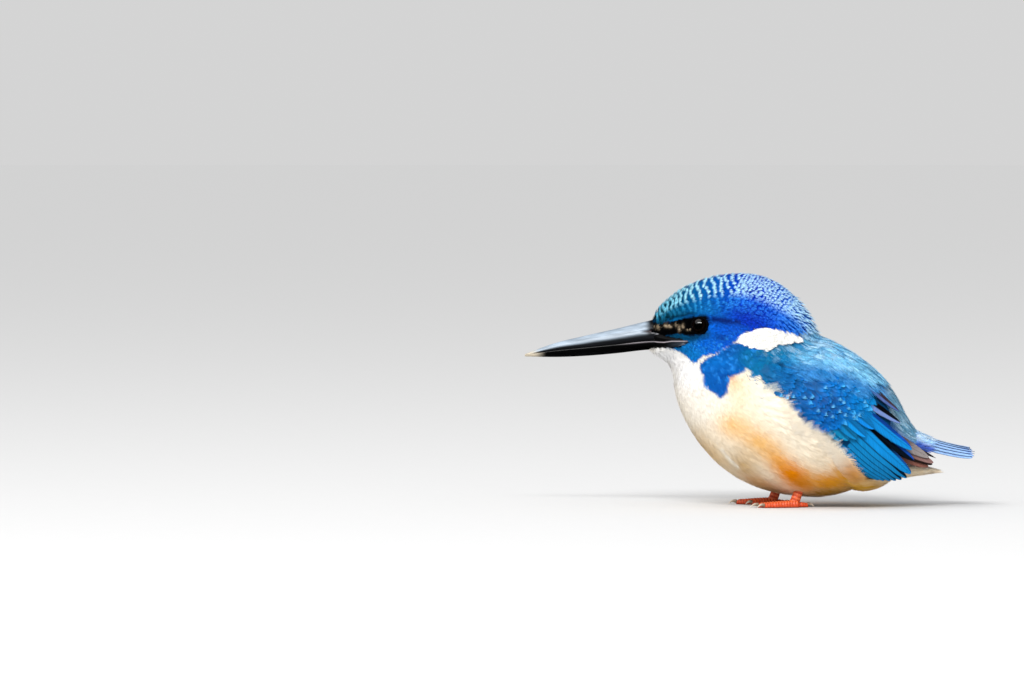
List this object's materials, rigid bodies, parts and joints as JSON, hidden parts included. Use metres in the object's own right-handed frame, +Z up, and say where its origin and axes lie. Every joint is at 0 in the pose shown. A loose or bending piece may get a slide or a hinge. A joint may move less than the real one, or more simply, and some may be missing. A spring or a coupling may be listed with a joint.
{
  "type": "perched kingfisher model",
  "caption": "Life-size still model of a small blue and cream kingfisher, fluffed up on its feet, with a long dagger bill and a short tail.",
  "frame": {"origin": "on the floor, under the middle of the bird's bounding box", "axes": "+Z up, -Y the way the bird looks, +X towards its left side"},
  "size_m": [0.045, 0.1572, 0.0817],
  "materials": {
    "crown_feathers": "feathers, silky",
    "neck_feathers": "feathers, soft",
    "back_feathers": "feathers, silky",
    "belly_feathers": "feathers, soft",
    "rump_feathers": "feathers, silky",
    "quill_feathers": "quill vanes, satin",
    "primary_feathers": "quill vanes, satin",
    "vent_feathers": "feathers, soft",
    "bill_horn": "horn, polished",
    "eye": "wet gloss",
    "foot_skin": "fine scales",
    "claw_horn": "horn"
  },
  "bodies": {
    "root": {"head": "crown_feathers", "neck": "neck_feathers", "back": "back_feathers", "trunk": "belly_feathers", "rump": "rump_feathers", "bill_upper": "bill_horn", "bill_lower": "bill_horn", "eye_left": "eye", "eye_right": "eye", "wing_left": "back_feathers", "wing_right": "back_feathers", "secondaries_left": "quill_feathers", "secondaries_right": "quill_feathers", "primaries_left": "primary_feathers", "primaries_right": "primary_feathers", "tail": "rump_feathers", "undertail_coverts": "vent_feathers", "tarsus_left": "foot_skin", "tarsus_right": "foot_skin", "foot_left": "foot_skin", "foot_right": "foot_skin", "claw_outer_left": "claw_horn", "claw_middle_left": "claw_horn", "claw_inner_left": "claw_horn", "claw_hind_left": "claw_horn", "claw_outer_right": "claw_horn", "claw_middle_right": "claw_horn", "claw_inner_right": "claw_horn", "claw_hind_right": "claw_horn"}
  },
  "joints": []
}
